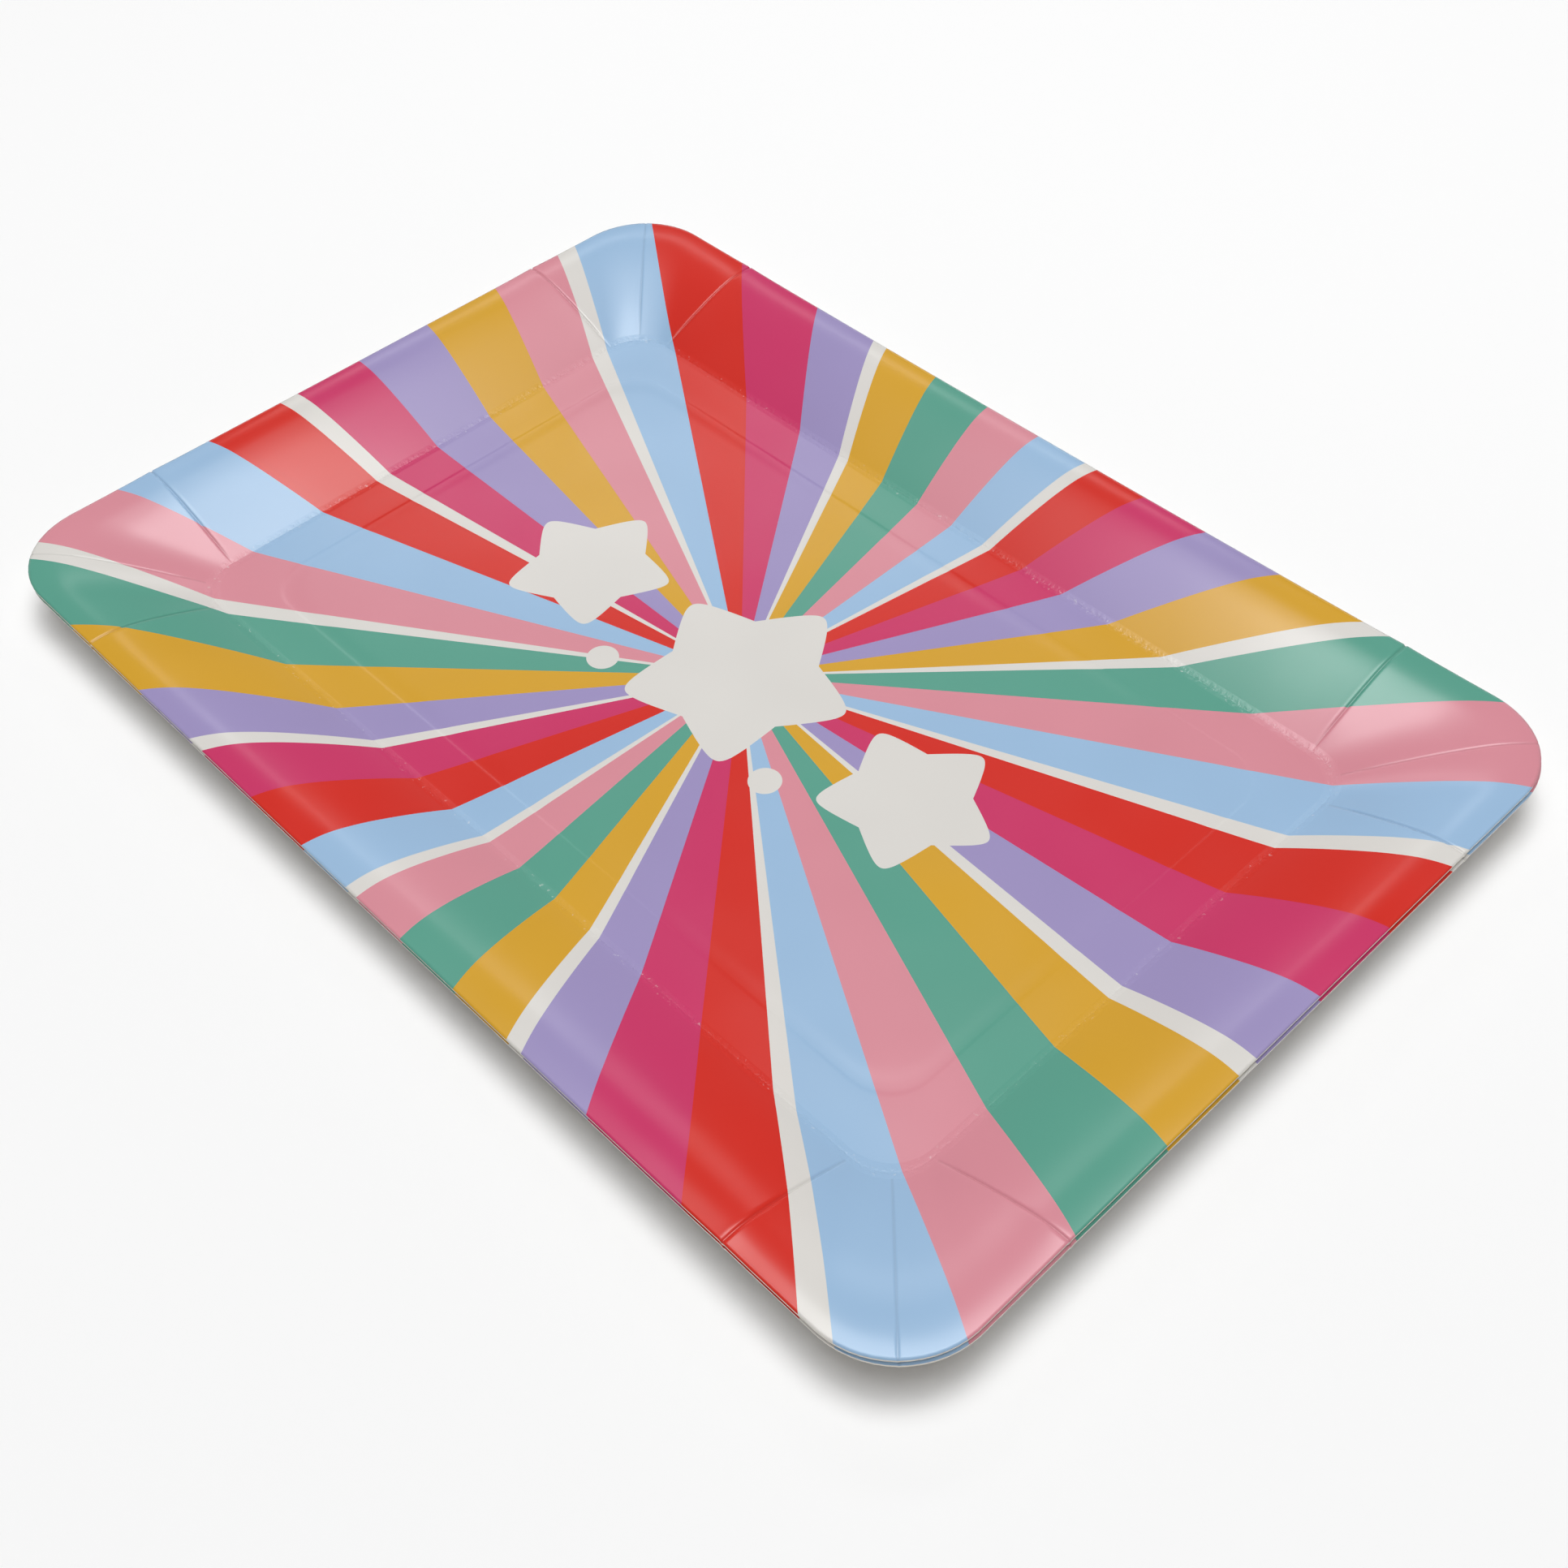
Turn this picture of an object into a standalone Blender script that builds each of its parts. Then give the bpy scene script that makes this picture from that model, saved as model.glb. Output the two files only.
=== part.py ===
"""Two nested rectangular party plates of pressed paperboard; the upper one lifts out.

Metres, +Z up, +X along the plates' long side. The origin is the middle of the pair's
outline, on the surface that the lower plate rests on.

Each plate is one pressed blank. From the middle outwards it has a flat panel, a shallow
step down to a flat foot band, a gentle rise to the pressed crease, a sloping wall, and a
rounded rim that turns slightly down to the cut edge.
"""

import math

import bmesh
import bpy
from mathutils import Vector

# Outline of the base at its crease, where the wall starts
BASE_HALF_X = 0.0923
BASE_HALF_Y = 0.0566
BASE_CORNER_RADIUS = 0.0085

# Base panel: how far inside the crease each part of the foot lies, and its height
STEP_TOP_INSET = 0.0105
STEP_FOOT_INSET = 0.0085
FOOT_BAND_INSET = 0.0060
STEP_HEIGHT = 0.0002

# Wall and rim: two tangent arcs, stated by slope and by length along the board
WALL_START_SLOPE = math.radians(26.0)
WALL_END_SLOPE = math.radians(20.0)
WALL_LENGTH = 0.0180
LIP_SLOPE = math.radians(-4.0)
RIM_LENGTH = 0.0088
RIM_CORNER_RADIUS = 0.0160

# How far the middle of each long rim sags below the corners
LONG_SIDE_SAG = 0.0010

# Board, the height of one nested plate above the next, and how far apart they lie along X
BOARD_THICKNESS = 0.00045
NEST_PITCH = 0.00100
NEST_SHIFT = 0.0003
PLATE_NAMES = ("plate_lower", "plate_upper")

# Mesh density
WALL_STEPS = 3
RIM_STEPS = 5
CORNER_STEPS = 8
LONG_SIDE_STEPS = 8
SHORT_SIDE_STEPS = 2

COLLECTION_NAME = "nested_party_plates"


def clear_scene():
    """Remove every object that the scene starts with."""
    for old in list(bpy.data.objects):
        bpy.data.objects.remove(old, do_unlink=True)


def board_material(name, color, roughness):
    """Glossy printed paperboard."""
    material = bpy.data.materials.new(name)
    material.use_nodes = True
    shader = material.node_tree.nodes["Principled BSDF"]
    shader.inputs["Base Color"].default_value = (*color, 1.0)
    shader.inputs["Roughness"].default_value = roughness
    shader.inputs["Metallic"].default_value = 0.0
    return material


def arc_stations(outset, height, start_slope, end_slope, length, steps):
    """Points along an arc whose slope turns evenly from start_slope to end_slope."""
    radius = length / (start_slope - end_slope)
    stations = []
    for index in range(1, steps + 1):
        slope = start_slope + (end_slope - start_slope) * index / steps
        out = outset + radius * (math.sin(start_slope) - math.sin(slope))
        up = height + radius * (math.cos(slope) - math.cos(start_slope))
        stations.append((out, up))
    return stations


def plate_profile():
    """The printed face's cross-section, as (distance outside the crease, height)."""
    base = [
        (-STEP_TOP_INSET, STEP_HEIGHT),
        (-STEP_FOOT_INSET, 0.0),
        (-FOOT_BAND_INSET, 0.0),
        (0.0, STEP_HEIGHT),
    ]
    wall = arc_stations(*base[-1], WALL_START_SLOPE, WALL_END_SLOPE, WALL_LENGTH, WALL_STEPS)
    rim = arc_stations(*wall[-1], WALL_END_SLOPE, LIP_SLOPE, RIM_LENGTH, RIM_STEPS)
    return base + wall + rim


def corner_radius(outset, full_outset):
    """The corner opens up from the crease to the rim, and stays as it is inside the crease."""
    share = max(outset, 0.0) / full_outset
    return BASE_CORNER_RADIUS + (RIM_CORNER_RADIUS - BASE_CORNER_RADIUS) * share


def ring_outline(half_x, half_y, radius):
    """A rounded rectangle's points, anticlockwise, with the sides divided evenly."""
    corners = (
        (half_x - radius, half_y - radius, 0.0, LONG_SIDE_STEPS),
        (-half_x + radius, half_y - radius, 0.5 * math.pi, SHORT_SIDE_STEPS),
        (-half_x + radius, -half_y + radius, math.pi, LONG_SIDE_STEPS),
        (half_x - radius, -half_y + radius, 1.5 * math.pi, SHORT_SIDE_STEPS),
    )
    points = []
    for place, (centre_x, centre_y, start, side_steps) in enumerate(corners):
        for index in range(CORNER_STEPS + 1):
            angle = start + 0.5 * math.pi * index / CORNER_STEPS
            point = Vector((centre_x, centre_y))
            points.append(point + radius * Vector((math.cos(angle), math.sin(angle))))
        next_x, next_y, next_start, _ = corners[(place + 1) % len(corners)]
        side_end = Vector((next_x, next_y))
        side_end += radius * Vector((math.cos(next_start), math.sin(next_start)))
        side_start = points[-1]
        for index in range(1, side_steps):
            points.append(side_start.lerp(side_end, index / side_steps))
    return points


def sag(point, outset, full_outset, half_x):
    """The long sides droop towards their middle, and only outside the crease."""
    along = 1.0 - (point.x / half_x) ** 2
    across = (abs(point.y) / (BASE_HALF_Y + full_outset)) ** 4
    share = max(outset, 0.0) / full_outset
    return LONG_SIDE_SAG * along * across * share


def printed_face():
    """The plate's upper face, an open surface lofted through rounded rectangles.

    The corner radius changes from ring to ring, so the rings are unlike sections and
    the faces between them are built directly.
    """
    profile = plate_profile()
    full_outset = profile[-1][0]
    face = bmesh.new()
    rings = []
    for outset, height in profile:
        half_x = BASE_HALF_X + outset
        half_y = BASE_HALF_Y + outset
        ring = []
        for point in ring_outline(half_x, half_y, corner_radius(outset, full_outset)):
            drop = sag(point, outset, full_outset, half_x)
            ring.append(face.verts.new((point.x, point.y, height - drop)))
        rings.append(ring)
    face.faces.new(rings[0])
    for inner, outer in zip(rings, rings[1:]):
        count = len(inner)
        for index in range(count):
            after = (index + 1) % count
            face.faces.new((inner[index], outer[index], outer[after], inner[after]))
    bmesh.ops.recalc_face_normals(face, faces=face.faces)
    mesh = bpy.data.meshes.new("printed_face")
    face.to_mesh(mesh)
    face.free()
    mesh.shade_smooth()
    mesh.set_sharp_from_angle(angle=math.radians(15.0))
    return mesh


def build_plate(name, mesh, level, material, collection):
    """One plate: the shared printed face given the board's thickness downwards."""
    plate = bpy.data.objects.new(name, mesh)
    plate.location.x = (0.5 - level) * NEST_SHIFT
    plate.location.z = BOARD_THICKNESS + level * NEST_PITCH
    collection.objects.link(plate)
    board = plate.modifiers.new("board", "SOLIDIFY")
    board.thickness = BOARD_THICKNESS
    board.offset = -1.0
    board.use_even_offset = True
    plate.material_slots[0].link = "OBJECT"
    plate.material_slots[0].material = material
    return plate


def main():
    clear_scene()
    collection = bpy.data.collections.new(COLLECTION_NAME)
    bpy.context.scene.collection.children.link(collection)
    mesh = printed_face()
    mesh.materials.append(None)
    upper_print = board_material("upper_print", (0.62, 0.36, 0.30), 0.30)
    lower_print = board_material("lower_print", (0.45, 0.30, 0.27), 0.35)
    for level, (name, material) in enumerate(zip(PLATE_NAMES, (lower_print, upper_print))):
        build_plate(name, mesh, level, material, collection)


main()
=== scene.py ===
"""The looks of two nested party plates: pressed, film-coated board with a printed sunburst.

Each plate's visible board replaces its CAD solid. The board is lofted through finely
spaced rounded rectangles. Every point keeps its place on the flat sheet, so the print
bends at the base crease as a sheet that was printed flat and then pressed.
"""

import math

import bmesh
import bpy
from mathutils import Matrix, Vector


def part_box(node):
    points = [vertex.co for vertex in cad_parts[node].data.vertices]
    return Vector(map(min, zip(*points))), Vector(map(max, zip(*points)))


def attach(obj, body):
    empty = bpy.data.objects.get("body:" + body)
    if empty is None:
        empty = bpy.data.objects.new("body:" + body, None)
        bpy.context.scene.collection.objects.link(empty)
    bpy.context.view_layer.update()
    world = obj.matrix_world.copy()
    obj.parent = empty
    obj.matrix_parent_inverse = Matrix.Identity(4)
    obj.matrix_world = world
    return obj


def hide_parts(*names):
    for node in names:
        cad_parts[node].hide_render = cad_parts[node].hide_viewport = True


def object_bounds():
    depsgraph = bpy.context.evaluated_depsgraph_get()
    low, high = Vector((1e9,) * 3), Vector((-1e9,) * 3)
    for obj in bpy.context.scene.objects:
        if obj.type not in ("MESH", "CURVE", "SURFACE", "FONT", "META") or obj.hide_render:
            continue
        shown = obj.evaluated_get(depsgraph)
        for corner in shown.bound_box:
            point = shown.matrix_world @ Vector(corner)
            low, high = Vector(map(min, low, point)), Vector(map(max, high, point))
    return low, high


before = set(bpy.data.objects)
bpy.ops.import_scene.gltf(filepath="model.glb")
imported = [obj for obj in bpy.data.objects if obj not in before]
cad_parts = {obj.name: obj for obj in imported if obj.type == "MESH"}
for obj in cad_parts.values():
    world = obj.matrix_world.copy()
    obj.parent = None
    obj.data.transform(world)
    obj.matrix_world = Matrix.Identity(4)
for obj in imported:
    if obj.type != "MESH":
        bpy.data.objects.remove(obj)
cad_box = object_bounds()

# Pressed shape, as lengths in metres and slopes in radians
BOARD_THICKNESS = 0.00045
BASE_CORNER_RADIUS = 0.0085
RIM_CORNER_RADIUS = 0.0160
SHEET_CORNER_RADIUS = 0.0185
PANEL_HEIGHT = 0.00012
GUTTER_FALL_SLOPE = math.radians(-2.5)
GUTTER_FALL_LENGTH = 0.0036
GUTTER_FLANK_SLOPE = math.radians(8.0)
GUTTER_FLANK_LENGTH = 0.0009
FOOT_BAND_LENGTH = 0.00305
RISE_SLOPE = math.radians(1.5)
RISE_LENGTH = 0.0060
CREASE_LENGTH = 0.0003
WALL_START_SLOPE = math.radians(26.0)
WALL_BEND_SLOPE = math.radians(21.0)
WALL_LENGTH = 0.0140
SHOULDER_SLOPE = math.radians(15.5)
SHOULDER_LENGTH = 0.0060
LIP_SLOPE = math.radians(-4.0)
RIM_LENGTH = 0.00665
LONG_SIDE_SAG = 0.0010

# Corner creases: grooves pressed into the wall at the start, middle and end of each corner
CREASE_DEPTHS = (0.00012, 0.00004, 0.00012)
CREASE_PLACES = (0.0, 0.5, 1.0)
CREASE_HALF_WIDTH = 0.00025
CREASE_BULGE = 0.00018
CREASE_BULGE_WIDTH = 0.0030
CREASE_FADE_IN = 0.0060

# Print: rays in groups between thin off-white slivers, clockwise from the first sliver
RAY_GROUPS = (
    (4, 36.0), (4, 36.5), (4, 34.5), (3, 25.5), (3, 25.5), (4, 35.0),
    (3, 26.5), (3, 27.0), (3, 28.0), (3, 25.5), (3, 26.5), (4, 33.5),
)
FIRST_SLIVER = math.radians(154.0)
SLIVER_WIDTH = math.radians(2.0)
RAY_COLORS = ("blue", "red", "magenta", "purple", "yellow", "green", "pink")
INKS = {
    "blue": (0.338, 0.515, 0.730),
    "red": (0.665, 0.028, 0.017),
    "magenta": (0.605, 0.040, 0.140),
    "purple": (0.347, 0.292, 0.539),
    "yellow": (0.680, 0.368, 0.030),
    "green": (0.108, 0.358, 0.272),
    "pink": (0.701, 0.275, 0.328),
    "off_white": (0.723, 0.701, 0.665),
}

# Motif of three stars in a row: centre along X and Y, radius and turn
STARS = (
    (-0.0420, 0.0, 0.0185, 0.16),
    (0.0, 0.0, 0.0245, 0.0),
    (0.0420, 0.0, 0.0185, -0.16),
)
STAR_EDGE_ANGLE = math.radians(57.0)
STAR_ROUNDING = 0.012
DOTS = ((-0.0215, -0.0145, 0.0030), (0.0215, -0.0145, 0.0030))

# Lights: name, azimuth and elevation in degrees, distance, size and power in watts
LIGHTS = (
    ("overhead", 110.0, 80.0, 1.2, (0.6, 0.5), 4.6),
    ("window", 137.0, 38.0, 1.4, (0.9, 0.12), 0.9),
)

# Sky and horizon: height where each grade starts and ends, and its strength at both
SKY_GRADE = (0.84, 0.98, 0.13, 3.2)
HORIZON_GRADE = (0.10, 0.24, 0.75, 0.0)

# Camera: where it stands and how it is turned
CAMERA_AZIMUTH = math.radians(47.7)
CAMERA_ELEVATION = math.radians(48.55)
CAMERA_ROLL = math.radians(-2.3)
CAMERA_DISTANCE = 0.3480
CAMERA_PAN = (0.0078, -0.0196)
CAMERA_LENS_MM = 44.2


# ---------------------------------------------------------------- the pressed board

def pressed_profile():
    """The printed face's section from the gutter outwards: (out, along the sheet, up, slope)."""
    runs = (
        (0.0, GUTTER_FALL_SLOPE, 0.55 * GUTTER_FALL_LENGTH, 5),
        (GUTTER_FALL_SLOPE, 0.0, 0.45 * GUTTER_FALL_LENGTH, 5),
        (0.0, GUTTER_FLANK_SLOPE, 0.5 * GUTTER_FLANK_LENGTH, 4),
        (GUTTER_FLANK_SLOPE, 0.0, 0.5 * GUTTER_FLANK_LENGTH, 4),
        (0.0, 0.0, FOOT_BAND_LENGTH, 2),
        (0.0, RISE_SLOPE, RISE_LENGTH - 0.5 * CREASE_LENGTH, 5),
        (RISE_SLOPE, WALL_START_SLOPE, CREASE_LENGTH, 5),
        (WALL_START_SLOPE, WALL_BEND_SLOPE, WALL_LENGTH, 12),
        (WALL_BEND_SLOPE, SHOULDER_SLOPE, SHOULDER_LENGTH, 8),
        (SHOULDER_SLOPE, LIP_SLOPE, RIM_LENGTH, 14),
    )
    out, sheet, up = 0.0, 0.0, PANEL_HEIGHT
    stations = [(out, sheet, up)]
    for start, end, length, steps in runs:
        for index in range(steps):
            slope = start + (end - start) * (index + 0.5) / steps
            out += math.cos(slope) * length / steps
            up += math.sin(slope) * length / steps
            sheet += length / steps
            stations.append((out, sheet, up))
    crease_out = sum(run[2] for run in runs[:6]) + 0.5 * CREASE_LENGTH
    crease_sheet = crease_out
    return [(o - crease_out, s - crease_sheet, u) for o, s, u in stations]


def corner_point(half_x, half_y, outset, radius, place):
    """A point of the (+X, +Y) corner's path, from its +X end at place 0 to its +Y end at 1."""
    from_corner = BASE_CORNER_RADIUS + max(outset, 0.0)
    start_x = half_x - from_corner
    start_y = half_y - from_corner
    straight = from_corner - radius
    arc = 0.5 * math.pi * radius
    total = 2.0 * straight + arc
    along = place * total
    if along < straight:
        point = Vector((half_x, start_y + along))
    elif along <= straight + arc:
        angle = (along - straight) / radius
        centre = Vector((half_x - radius, half_y - radius))
        point = centre + radius * Vector((math.cos(angle), math.sin(angle)))
    else:
        point = Vector((start_x + total - along, half_y))
    return point, total


def corner_places():
    """Places along a corner's path, close together beside each crease."""
    places = {0.0, 0.5, 1.0}
    for index in range(1, 36):
        places.add(index / 36)
    for crease in CREASE_PLACES:
        for offset in (0.0025, 0.005, 0.008, 0.012, 0.018):
            places.add(crease - offset)
            places.add(crease + offset)
    return sorted(place for place in places if 0.0 <= place <= 1.0)


def side_shares(steps):
    """Shares along a straight side, with short steps beside the creases at its ends."""
    near = (0.001, 0.002, 0.0035, 0.006, 0.012)
    middle = [index / steps for index in range(1, steps)]
    return sorted(list(near) + middle + [1.0 - share for share in near])


def columns():
    """Every column round the plate: ("corner", k, place) or ("side", k, share)."""
    found = []
    for quarter in range(4):
        places = corner_places()
        for place in places:
            found.append(("corner", quarter, place))
        for share in side_shares(24 if quarter % 2 == 0 else 16):
            found.append(("side", quarter, share))
    return found


def quarter_point(half_x, half_y, outset, radius, quarter, place):
    """The corner path mirrored into each quarter, always running anticlockwise."""
    mirrored = quarter % 2 == 1
    point, total = corner_point(half_x, half_y, outset, radius, 1.0 - place if mirrored else place)
    sign_x = 1.0 if quarter in (0, 3) else -1.0
    sign_y = 1.0 if quarter in (0, 1) else -1.0
    return Vector((sign_x * point.x, sign_y * point.y)), total


def column_point(half_x, half_y, outset, radius, column):
    """A column's point on one ring, and its distance from each crease of its corner."""
    kind, quarter, share = column
    if kind == "corner":
        point, total = quarter_point(half_x, half_y, outset, radius, quarter, share)
        return point, [(place, (share - place) * total) for place in CREASE_PLACES]
    start, _ = quarter_point(half_x, half_y, outset, radius, quarter, 1.0)
    end, _ = quarter_point(half_x, half_y, outset, radius, (quarter + 1) % 4, 0.0)
    length = (end - start).length
    point = start.lerp(end, share)
    return point, [(1.0, share * length), (0.0, (share - 1.0) * length)]


def crease_relief(distances, outset):
    """Height of the grooves and the soft swelling beside them, growing outwards."""
    if outset <= 0.0:
        return 0.0
    grown = min(outset / CREASE_FADE_IN, 1.0)
    height = 0.0
    for place, distance in distances:
        depth = CREASE_DEPTHS[CREASE_PLACES.index(place)]
        groove = math.exp(-((distance / CREASE_HALF_WIDTH) ** 2))
        swelling = math.exp(-abs(distance) / CREASE_BULGE_WIDTH) - groove
        height += grown * (CREASE_BULGE * swelling * depth / CREASE_DEPTHS[0] - depth * groove)
    return height


def sag(point, outset, full_outset, half_x, half_y):
    """The long sides droop towards their middle, and only outside the base crease."""
    along = 1.0 - (point.x / half_x) ** 2
    across = (abs(point.y) / half_y) ** 4
    share = max(outset, 0.0) / full_outset
    return LONG_SIDE_SAG * along * across * share


def build_board(name, node):
    """The plate's fine board, in the place of one CAD plate."""
    low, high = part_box(node)
    stations = pressed_profile()
    full_out, full_sheet, _ = stations[-1]
    base_x = 0.5 * (high[0] - low[0]) - full_out
    base_y = 0.5 * (high[1] - low[1]) - full_out
    middle = Vector((0.5 * (low[0] + high[0]), 0.5 * (low[1] + high[1]), low[2] + BOARD_THICKNESS))
    all_columns = columns()

    board = bmesh.new()
    sheet_layer = board.verts.layers.float_vector.new("sheet")
    press_layer = board.verts.layers.float_vector.new("press")

    def add_vertex(position, sheet_point, outset, groove):
        vertex = board.verts.new(middle + Vector(position))
        vertex[sheet_layer] = (sheet_point.x, sheet_point.y, 0.0)
        vertex[press_layer] = (outset, groove, 0.0)
        return vertex

    rings = []
    inner_out, _, inner_up = stations[0]
    for share in (0.08, 0.25, 0.45, 0.65, 0.85):
        ring = []
        for column in all_columns:
            point, _ = column_point(
                base_x + inner_out, base_y + inner_out, inner_out, BASE_CORNER_RADIUS, column
            )
            point = point * share
            ring.append(add_vertex((point.x, point.y, inner_up), point, -0.1, 0.0))
        rings.append(ring)
    for out, sheet, up in stations:
        share = max(out, 0.0) / full_out
        radius = BASE_CORNER_RADIUS + (RIM_CORNER_RADIUS - BASE_CORNER_RADIUS) * share
        sheet_share = max(sheet, 0.0) / full_sheet
        sheet_growth = SHEET_CORNER_RADIUS - BASE_CORNER_RADIUS
        sheet_radius = BASE_CORNER_RADIUS + sheet_growth * sheet_share
        half_x = base_x + out
        half_y = base_y + out
        ring = []
        for column in all_columns:
            point, distances = column_point(half_x, half_y, out, radius, column)
            flat, _ = column_point(base_x + sheet, base_y + sheet, sheet, sheet_radius, column)
            relief = crease_relief(distances, out)
            drop = sag(point, out, full_out, half_x, base_y + full_out)
            nearest = min(abs(distance) for _, distance in distances)
            height = up + relief - drop
            ring.append(add_vertex((point.x, point.y, height), flat, out, nearest))
        rings.append(ring)

    centre = add_vertex((0.0, 0.0, inner_up), Vector((0.0, 0.0)), -0.1, 1.0)
    count = len(all_columns)
    for index in range(count):
        after = (index + 1) % count
        board.faces.new((centre, rings[0][index], rings[0][after]))
        for inner, outer in zip(rings, rings[1:]):
            board.faces.new((inner[index], outer[index], outer[after], inner[after]))
    bmesh.ops.recalc_face_normals(board, faces=board.faces)
    mesh = bpy.data.meshes.new(name)
    board.to_mesh(mesh)
    board.free()
    mesh.shade_smooth()

    plate = bpy.data.objects.new(name, mesh)
    bpy.context.scene.collection.objects.link(plate)
    thickness = plate.modifiers.new("board", "SOLIDIFY")
    thickness.thickness = BOARD_THICKNESS
    thickness.offset = -1.0
    thickness.material_offset = 1
    thickness.material_offset_rim = 2
    return plate


# ---------------------------------------------------------------- materials

class Nodes:
    """Short names for building a material's node tree."""

    def __init__(self, name):
        self.material = bpy.data.materials.new(name)
        self.material.use_nodes = True
        self.tree = self.material.node_tree
        self.shader = self.tree.nodes["Principled BSDF"]

    def add(self, kind, **settings):
        node = self.tree.nodes.new(kind)
        for key, value in settings.items():
            setattr(node, key, value)
        return node

    def feed(self, value, socket):
        if isinstance(value, bpy.types.NodeSocket):
            self.tree.links.new(value, socket)
        else:
            socket.default_value = value

    def math(self, operation, *values):
        node = self.add("ShaderNodeMath", operation=operation)
        for value, socket in zip(values, node.inputs):
            self.feed(value, socket)
        return node.outputs[0]

    def attribute(self, name):
        return self.add("ShaderNodeAttribute", attribute_name=name).outputs["Vector"]

    def split(self, vector):
        node = self.add("ShaderNodeSeparateXYZ")
        self.feed(vector, node.inputs[0])
        return node.outputs

    def noise(self, vector, scale, detail=3.0, roughness=0.5):
        node = self.add("ShaderNodeTexNoise")
        self.feed(vector, node.inputs["Vector"])
        node.inputs["Scale"].default_value = scale
        node.inputs["Detail"].default_value = detail
        node.inputs["Roughness"].default_value = roughness
        return node.outputs["Fac"]

    def ramp(self, value, stops, interpolation="LINEAR"):
        node = self.add("ShaderNodeValToRGB")
        ramp = node.color_ramp
        ramp.interpolation = interpolation
        while len(ramp.elements) < len(stops):
            ramp.elements.new(0.5)
        for element, (place, color) in zip(ramp.elements, stops):
            element.position = place
            element.color = (*color, 1.0)
        self.feed(value, node.inputs[0])
        return node.outputs[0]

    def mix(self, share, first, second, blend="MIX"):
        node = self.add("ShaderNodeMix", data_type="RGBA", blend_type=blend)
        self.feed(share, node.inputs[0])
        self.feed(first, node.inputs[6])
        self.feed(second, node.inputs[7])
        return node.outputs[2]

    def to_range(self, value, low, high, to_low, to_high):
        node = self.add("ShaderNodeMapRange")
        node.clamp = True
        for number, socket in zip((value, low, high, to_low, to_high), node.inputs):
            self.feed(number, socket)
        return node.outputs[0]

    def bump(self, height, strength, distance, normal=None):
        node = self.add("ShaderNodeBump")
        node.inputs["Strength"].default_value = strength
        node.inputs["Distance"].default_value = distance
        self.feed(height, node.inputs["Height"])
        if normal is not None:
            self.feed(normal, node.inputs["Normal"])
        return node.outputs[0]


def ray_color(nodes, x, y):
    """The sunburst's ink at a place on the flat sheet."""
    full_turn = 2.0 * math.pi
    angle = nodes.math("ARCTAN2", y, x)
    clockwise = nodes.math("SUBTRACT", FIRST_SLIVER, angle)
    turn = nodes.math("FRACT", nodes.math("DIVIDE", clockwise, full_turn))
    ray = 0.0
    sliver = 0.0
    start = 0.0
    half_sliver = 0.5 * SLIVER_WIDTH / full_turn
    for count, span in RAY_GROUPS:
        end = start + span / 360.0
        ray = nodes.math("ADD", nodes.to_range(turn, start, end, 0.0, float(count)), ray)
        sliver = nodes.math("MAXIMUM", nodes.math("COMPARE", turn, start, half_sliver), sliver)
        start = end
    sliver = nodes.math("MAXIMUM", nodes.math("COMPARE", turn, 1.0, half_sliver), sliver)
    number = nodes.math("FLOOR", ray)
    last = nodes.math("GREATER_THAN", number, sum(count for count, _ in RAY_GROUPS) - 1.5)
    number = nodes.math("MODULO", nodes.math("ADD", number, last), float(len(RAY_COLORS)))
    place = nodes.math("DIVIDE", nodes.math("ADD", number, 0.5), float(len(RAY_COLORS)))
    stops = [(index / len(RAY_COLORS), INKS[ink]) for index, ink in enumerate(RAY_COLORS)]
    return nodes.ramp(place, stops, "CONSTANT"), sliver


def star_mask(nodes, x, y, star):
    """1 inside a five-pointed star with softly rounded points."""
    centre_x, centre_y, radius, turned = star
    point_angle = 2.0 * math.pi / 5.0
    dx = nodes.math("SUBTRACT", x, centre_x)
    dy = nodes.math("SUBTRACT", y, centre_y)
    squared = nodes.math("ADD", nodes.math("MULTIPLY", dx, dx), nodes.math("MULTIPLY", dy, dy))
    distance = nodes.math("SQRT", squared)
    angle = nodes.math("ADD", nodes.math("ARCTAN2", dx, dy), turned)
    shifted = nodes.math("ADD", angle, 0.5 * point_angle)
    wrapped = nodes.math("FLOORED_MODULO", shifted, point_angle)
    folded = nodes.math("SUBTRACT", wrapped, 0.5 * point_angle)
    rounded = nodes.math("ADD", nodes.math("MULTIPLY", folded, folded), STAR_ROUNDING)
    from_edge = nodes.math("SUBTRACT", nodes.math("SQRT", rounded), STAR_EDGE_ANGLE)
    reach = nodes.math("MULTIPLY", distance, nodes.math("COSINE", from_edge))
    return nodes.math("LESS_THAN", reach, radius * math.cos(STAR_EDGE_ANGLE))


def dot_mask(nodes, x, y, dot):
    """1 inside a small round dot."""
    dx = nodes.math("SUBTRACT", x, dot[0])
    dy = nodes.math("SUBTRACT", y, dot[1])
    squared = nodes.math("ADD", nodes.math("MULTIPLY", dx, dx), nodes.math("MULTIPLY", dy, dy))
    return nodes.math("LESS_THAN", squared, dot[2] ** 2)


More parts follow.
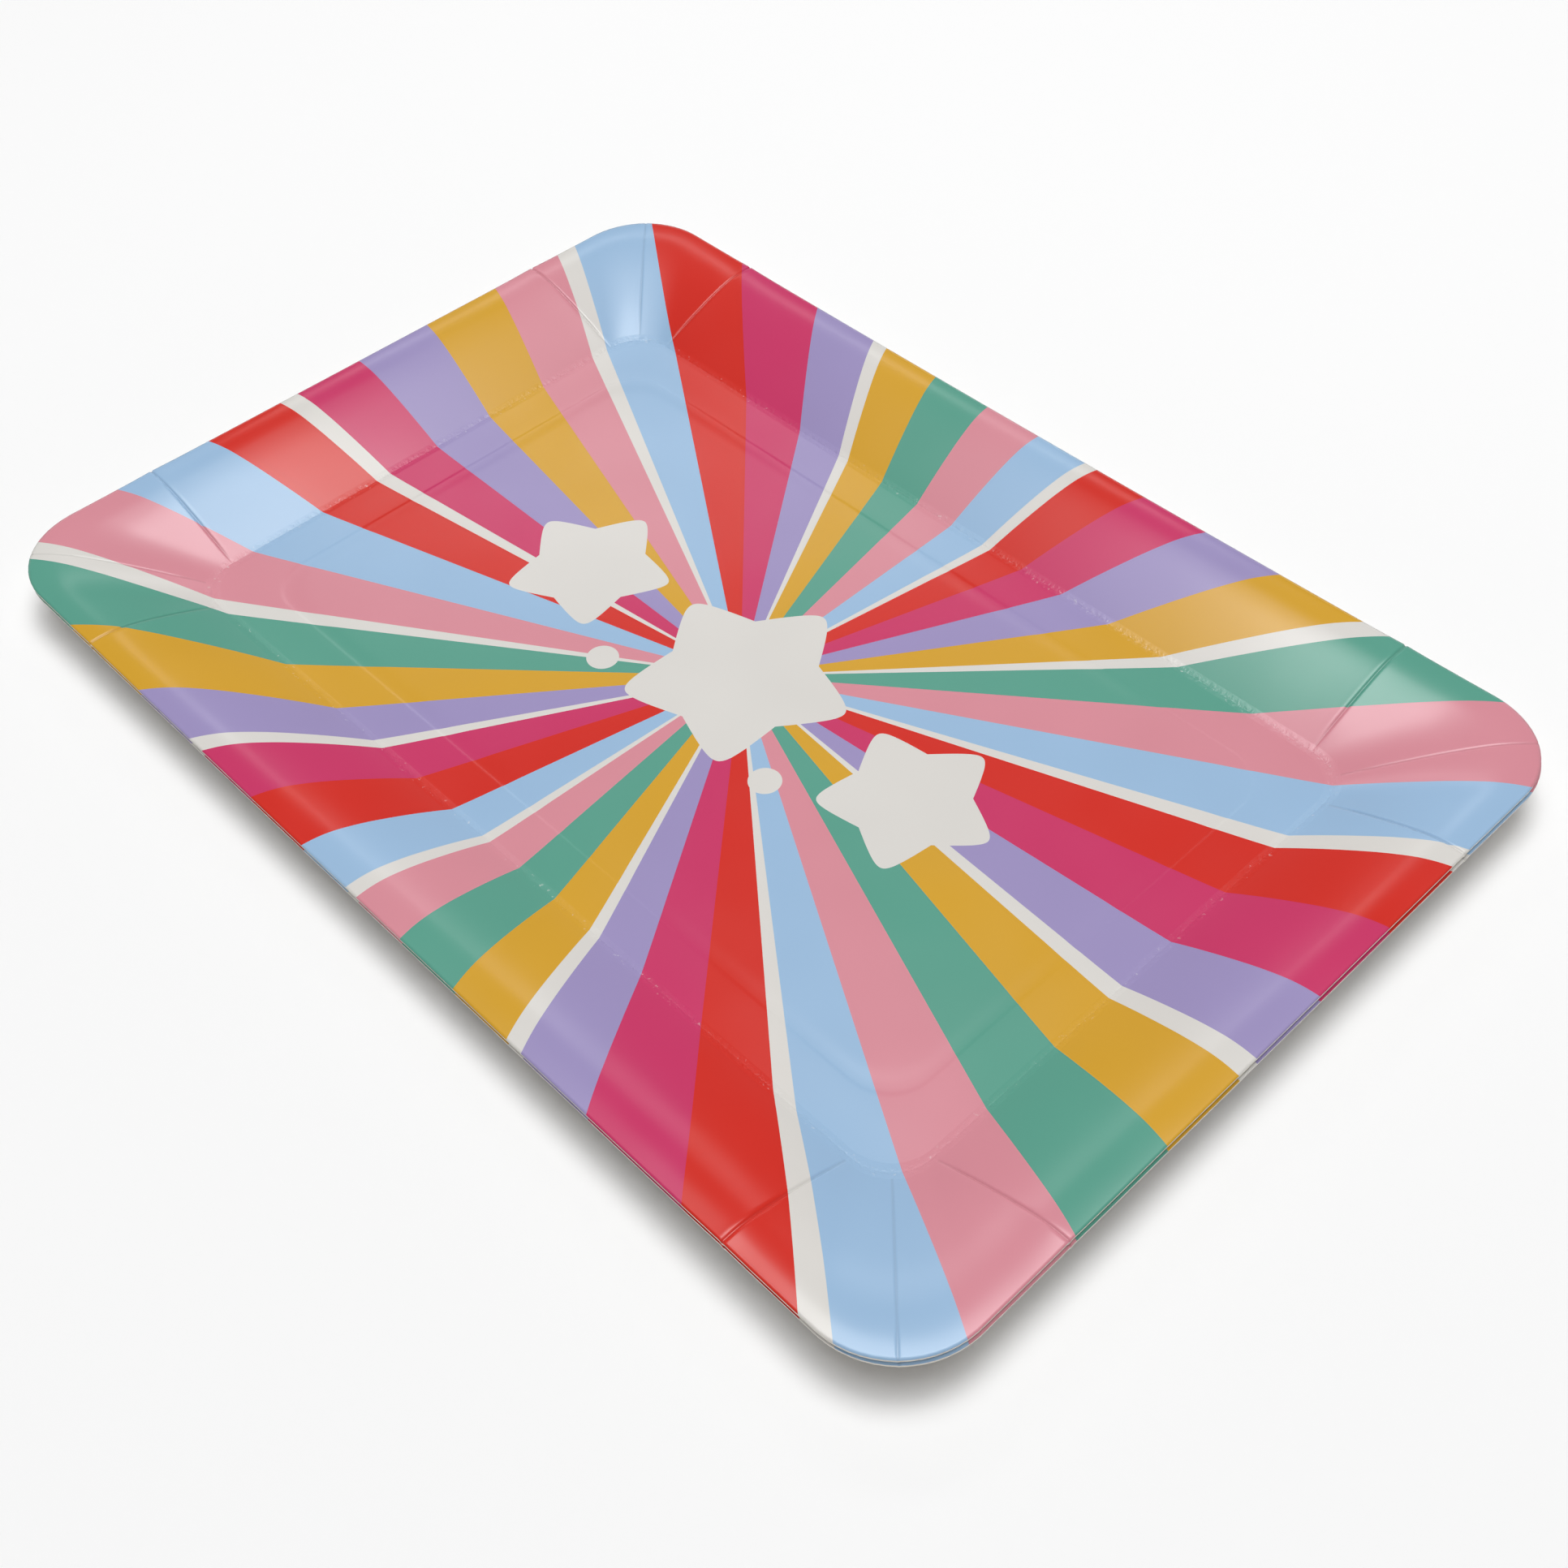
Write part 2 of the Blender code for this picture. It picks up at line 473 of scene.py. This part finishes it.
def print_material(name):
    """Printed paperboard under a clear glossy film."""
    nodes = Nodes(name)
    sheet = nodes.attribute("sheet")
    x, y, _ = nodes.split(sheet)
    outset, groove, _ = nodes.split(nodes.attribute("press"))

    rays, white = ray_color(nodes, x, y)
    for star in STARS:
        white = nodes.math("MAXIMUM", white, star_mask(nodes, x, y, star))
    for dot in DOTS:
        white = nodes.math("MAXIMUM", white, dot_mask(nodes, x, y, dot))
    color = nodes.mix(white, rays, (*INKS["off_white"], 1.0))

    tone = nodes.to_range(nodes.noise(sheet, 45.0, 1.0), 0.3, 0.7, 0.985, 1.012)
    shade = nodes.add("ShaderNodeCombineXYZ")
    for socket in shade.inputs:
        nodes.feed(tone, socket)
    color = nodes.mix(1.0, color, shade.outputs[0], "MULTIPLY")

    # The film is rubbed pale in short ticks along the base crease
    on_crease = nodes.to_range(nodes.math("ABSOLUTE", outset), 0.0002, 0.0011, 1.0, 0.0)
    ticks = nodes.to_range(nodes.noise(sheet, 900.0, 2.0, 0.6), 0.64, 0.72, 0.0, 1.0)
    rubbed = nodes.math("MULTIPLY", nodes.math("MULTIPLY", on_crease, ticks), 0.35)
    color = nodes.mix(rubbed, color, (0.85, 0.84, 0.82, 1.0))

    # Painted shade: the colour darkens a little in the pressed corner grooves, where shade falls
    groove_shade_strength = nodes.to_range(groove, 0.0001, 0.0003, 0.10, 0.0)
    outside = nodes.math("GREATER_THAN", outset, 0.001)
    painted_groove_shade = nodes.math("MULTIPLY", groove_shade_strength, outside)
    color = nodes.mix(painted_groove_shade, color, (0.10, 0.07, 0.07, 1.0))
    nodes.feed(color, nodes.shader.inputs["Base Color"])

    gloss = nodes.to_range(nodes.noise(sheet, 60.0, 1.0), 0.3, 0.7, 0.22, 0.27)
    nodes.feed(gloss, nodes.shader.inputs["Roughness"])
    wrinkles = nodes.math("MULTIPLY", nodes.noise(sheet, 1100.0, 3.0, 0.6), on_crease)
    waves = nodes.noise(sheet, 40.0, 1.0)
    normal = nodes.bump(waves, 0.25, 0.0006)
    normal = nodes.bump(wrinkles, 0.6, 0.0003, normal)
    nodes.feed(normal, nodes.shader.inputs["Normal"])
    nodes.shader.inputs["Specular IOR Level"].default_value = 0.38
    nodes.shader.inputs["Coat Weight"].default_value = 0.18
    nodes.shader.inputs["Coat Roughness"].default_value = 0.16
    nodes.shader.inputs["Coat IOR"].default_value = 1.45
    return nodes.material


def underside_material(name):
    """Bare, slightly grey board with long fibres and small flecks."""
    nodes = Nodes(name)
    sheet = nodes.attribute("sheet")
    stretch = nodes.add("ShaderNodeMapping")
    nodes.feed(sheet, stretch.inputs["Vector"])
    stretch.inputs["Scale"].default_value = (1.0, 4.0, 1.0)
    fibres = nodes.noise(stretch.outputs[0], 500.0, 5.0, 0.65)
    flecks = nodes.to_range(nodes.noise(sheet, 1500.0, 2.0), 0.70, 0.76, 0.0, 0.5)
    board = nodes.ramp(fibres, ((0.3, (0.60, 0.57, 0.52)), (0.7, (0.70, 0.67, 0.62))))
    color = nodes.mix(flecks, board, (0.38, 0.33, 0.27, 1.0))
    nodes.feed(color, nodes.shader.inputs["Base Color"])
    nodes.feed(nodes.to_range(fibres, 0.3, 0.7, 0.72, 0.88), nodes.shader.inputs["Roughness"])
    nodes.feed(nodes.bump(fibres, 0.35, 0.00004), nodes.shader.inputs["Normal"])
    nodes.shader.inputs["Specular IOR Level"].default_value = 0.3
    return nodes.material


def cut_edge_material(name):
    """The board's cut edge: beige plies with a rough, fibrous face."""
    nodes = Nodes(name)
    place = nodes.add("ShaderNodeTexCoord").outputs["Object"]
    stretch = nodes.add("ShaderNodeMapping")
    nodes.feed(place, stretch.inputs["Vector"])
    stretch.inputs["Scale"].default_value = (1.0, 1.0, 9.0)
    plies = nodes.noise(stretch.outputs[0], 900.0, 4.0, 0.6)
    color = nodes.ramp(plies, ((0.3, (0.72, 0.68, 0.61)), (0.7, (0.84, 0.81, 0.75))))
    nodes.feed(color, nodes.shader.inputs["Base Color"])
    nodes.feed(nodes.to_range(plies, 0.3, 0.7, 0.8, 0.95), nodes.shader.inputs["Roughness"])
    nodes.feed(nodes.bump(plies, 0.5, 0.00005), nodes.shader.inputs["Normal"])
    nodes.shader.inputs["Specular IOR Level"].default_value = 0.2
    return nodes.material


# ---------------------------------------------------------------- studio

def add_floor():
    """A plain pale floor under the plates."""
    nodes = Nodes("studio_floor")
    nodes.shader.inputs["Base Color"].default_value = (0.97, 0.97, 0.97, 1.0)
    nodes.shader.inputs["Roughness"].default_value = 0.9
    bpy.ops.mesh.primitive_plane_add(size=6.0, location=(0.0, 0.0, cad_box[0].z - 0.0001))
    floor = bpy.context.object
    floor.name = "floor"
    floor.data.materials.append(nodes.material)


def add_light(name, azimuth, elevation, distance, size, power):
    """A soft rectangular light that faces the plates. Azimuth is where it stands, from +X."""
    data = bpy.data.lights.new(name, "AREA")
    data.shape = "RECTANGLE"
    data.size, data.size_y = size
    data.energy = power
    light = bpy.data.objects.new(name, data)
    flat = math.cos(math.radians(elevation))
    light.location = distance * Vector((
        flat * math.cos(math.radians(azimuth)),
        flat * math.sin(math.radians(azimuth)),
        math.sin(math.radians(elevation)),
    ))
    light.rotation_euler = (-light.location).to_track_quat("-Z", "Y").to_euler()
    bpy.context.scene.collection.objects.link(light)


def add_world():
    """A sky that is dim at middle heights, bright overhead and pale along the horizon."""
    world = bpy.data.worlds.new("studio")
    world.use_nodes = True
    tree = world.node_tree
    background = tree.nodes["Background"]
    background.inputs["Color"].default_value = (1.0, 1.0, 1.0, 1.0)
    direction = tree.nodes.new("ShaderNodeTexCoord")
    height = tree.nodes.new("ShaderNodeSeparateXYZ")
    bright = tree.nodes.new("ShaderNodeMath")
    tree.links.new(direction.outputs["Generated"], height.inputs[0])
    for grade, summand in zip((SKY_GRADE, HORIZON_GRADE), bright.inputs):
        ranged = tree.nodes.new("ShaderNodeMapRange")
        for value, socket in zip(grade, list(ranged.inputs)[1:]):
            socket.default_value = value
        tree.links.new(height.outputs["Z"], ranged.inputs[0])
        tree.links.new(ranged.outputs[0], summand)
    tree.links.new(bright.outputs[0], background.inputs["Strength"])
    bpy.context.scene.world = world


def add_camera():
    """Looks at the middle of the upper plate's panel from beside its near corner."""
    forward = Vector((
        -math.sin(CAMERA_AZIMUTH) * math.cos(CAMERA_ELEVATION),
        math.cos(CAMERA_AZIMUTH) * math.cos(CAMERA_ELEVATION),
        -math.sin(CAMERA_ELEVATION),
    ))
    level_right = Vector((math.cos(CAMERA_AZIMUTH), math.sin(CAMERA_AZIMUTH), 0.0))
    level_up = level_right.cross(forward)
    right = level_right * math.cos(CAMERA_ROLL) + level_up * math.sin(CAMERA_ROLL)
    up = level_up * math.cos(CAMERA_ROLL) - level_right * math.sin(CAMERA_ROLL)
    low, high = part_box("plate_upper")
    level = low[2] + BOARD_THICKNESS + PANEL_HEIGHT
    panel = Vector((0.5 * (low[0] + high[0]), 0.5 * (low[1] + high[1]), level))
    place = panel - forward * CAMERA_DISTANCE + right * CAMERA_PAN[0] + up * CAMERA_PAN[1]
    data = bpy.data.cameras.new("camera")
    data.lens = CAMERA_LENS_MM
    data.sensor_width = 36.0
    data.clip_start = 0.01
    camera = bpy.data.objects.new("camera", data)
    turn = Matrix((right, up, -forward)).transposed().to_4x4()
    camera.matrix_world = Matrix.Translation(place) @ turn
    bpy.context.scene.collection.objects.link(camera)
    bpy.context.scene.camera = camera


def main():
    add_camera()
    add_world()
    add_floor()
    bpy.context.scene.view_settings.view_transform = "Standard"
    for light in LIGHTS:
        add_light(*light)

    finishes = (
        print_material("printed_film"),
        underside_material("bare_board"),
        cut_edge_material("cut_edge"),
    )
    for body in ("lower", "upper"):
        plate = build_board(f"{body}_board", f"plate_{body}")
        for finish in finishes:
            plate.data.materials.append(finish)
        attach(plate, body)
        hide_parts(f"plate_{body}")


main()
